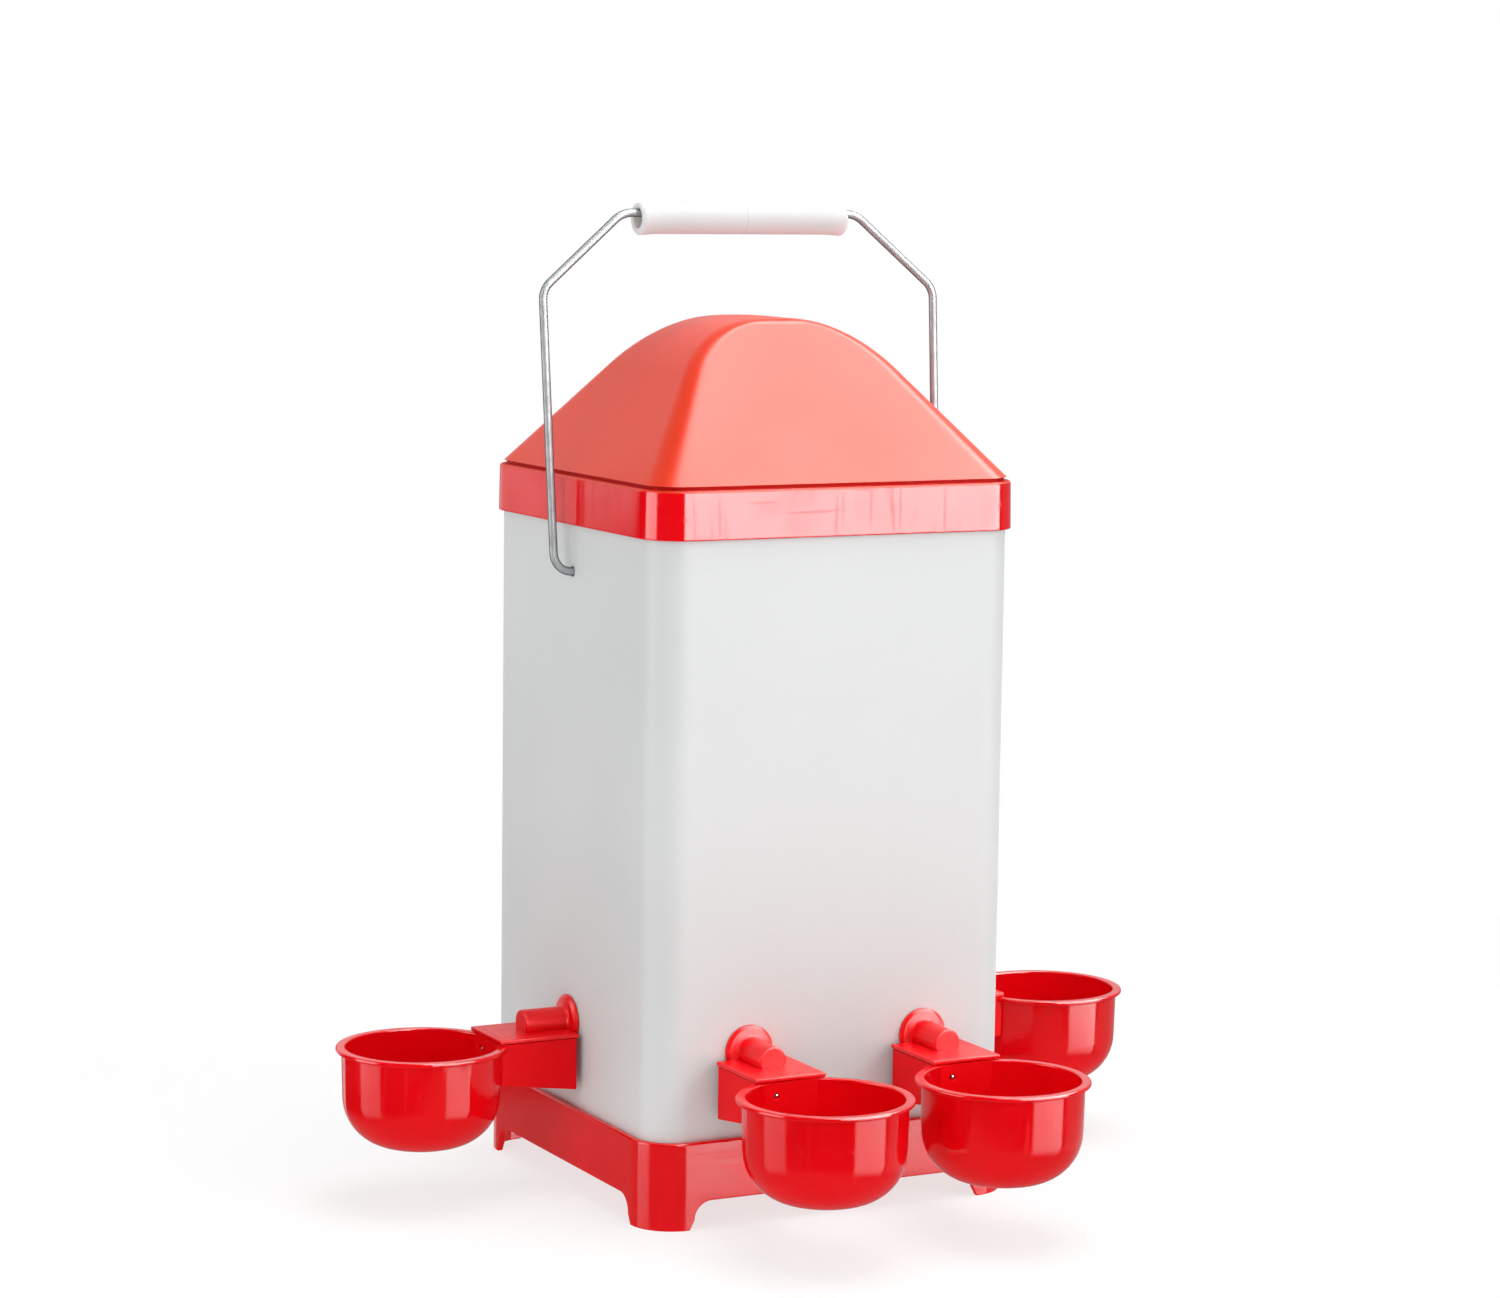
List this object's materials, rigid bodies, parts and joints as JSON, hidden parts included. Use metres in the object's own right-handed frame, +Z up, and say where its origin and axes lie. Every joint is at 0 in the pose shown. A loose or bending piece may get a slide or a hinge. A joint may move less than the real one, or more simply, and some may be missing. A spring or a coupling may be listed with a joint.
{
  "type": "poultry waterer",
  "caption": "Square water tank with a domed lift-off lid, a wire bail with a grip, and round float-fed drinking cups held out from its lower walls.",
  "frame": {"origin": "on the floor under the middle of the bounding box; the tank's own axis is 57.05 mm behind it, at Y = +0.05705", "axes": "+Z up, +X to the right seen from the front, the two-cup front face looks along -Y"},
  "size_m": [0.425, 0.311, 0.4756],
  "materials": {
    "tank_plastic": "satin moulded plastic, pale warm grey",
    "red_plastic": "glossy moulded plastic",
    "grip_plastic": "satin, slightly milky",
    "wire_steel": "drawn wire with a bright zinc coat",
    "pin_steel": "ground stainless",
    "rubber": "soft moulded rubber",
    "float_plastic": "matt foam-filled plastic",
    "nut_plastic": "matt moulded plastic"
  },
  "bodies": {
    "root": {"tank_tube": "tank_plastic", "base_tray": "red_plastic", "base_seal": "rubber", "cup_front_left": "red_plastic", "inlet_front_left": "red_plastic", "float_pin_front_left": "pin_steel", "gasket_front_left": "rubber", "lock_nut_front_left": "nut_plastic", "cup_front_right": "red_plastic", "inlet_front_right": "red_plastic", "float_pin_front_right": "pin_steel", "gasket_front_right": "rubber", "lock_nut_front_right": "nut_plastic", "cup_left": "red_plastic", "inlet_left": "red_plastic", "float_pin_left": "pin_steel", "gasket_left": "rubber", "lock_nut_left": "nut_plastic", "cup_right": "red_plastic", "inlet_right": "red_plastic", "float_pin_right": "pin_steel", "gasket_right": "rubber", "lock_nut_right": "nut_plastic"},
    "lid": {"lid": "red_plastic"},
    "bail": {"bail_wire": "wire_steel"},
    "grip": {"bail_grip": "grip_plastic"},
    "float_front_left": {"float_front_left": "float_plastic", "valve_seal_front_left": "rubber"},
    "float_front_right": {"float_front_right": "float_plastic", "valve_seal_front_right": "rubber"},
    "float_left": {"float_left": "float_plastic", "valve_seal_left": "rubber"},
    "float_right": {"float_right": "float_plastic", "valve_seal_right": "rubber"}
  },
  "joints": [
    {"name": "lid_lift", "type": "slide", "parent": "root", "child": "lid", "axis": [0, 0, 1], "range_m": [0, 0.035]},
    {"name": "bail_swing", "type": "hinge", "parent": "root", "child": "bail", "pos_m": [0, 0.05705, 0.3], "axis": [1, 0, 0], "range_deg": [-133, 143]},
    {"name": "grip_spin", "type": "hinge", "parent": "bail", "child": "grip", "pos_m": [0, 0.07169, 0.46736], "axis": [1, 0, 0], "continuous": true},
    {"name": "float_swing_front_left", "type": "hinge", "parent": "root", "child": "float_front_left", "pos_m": [-0.0535, -0.06145, 0.0705], "axis": [0, -1, 0], "range_deg": [0, 4]},
    {"name": "float_swing_front_right", "type": "hinge", "parent": "root", "child": "float_front_right", "pos_m": [0.0395, -0.06145, 0.0705], "axis": [0, -1, 0], "range_deg": [0, 4]},
    {"name": "float_swing_left", "type": "hinge", "parent": "root", "child": "float_left", "pos_m": [-0.1185, 0.06405, 0.0705], "axis": [-1, 0, 0], "range_deg": [0, 4]},
    {"name": "float_swing_right", "type": "hinge", "parent": "root", "child": "float_right", "pos_m": [0.1185, 0.05005, 0.0705], "axis": [1, 0, 0], "range_deg": [0, 4]}
  ]
}
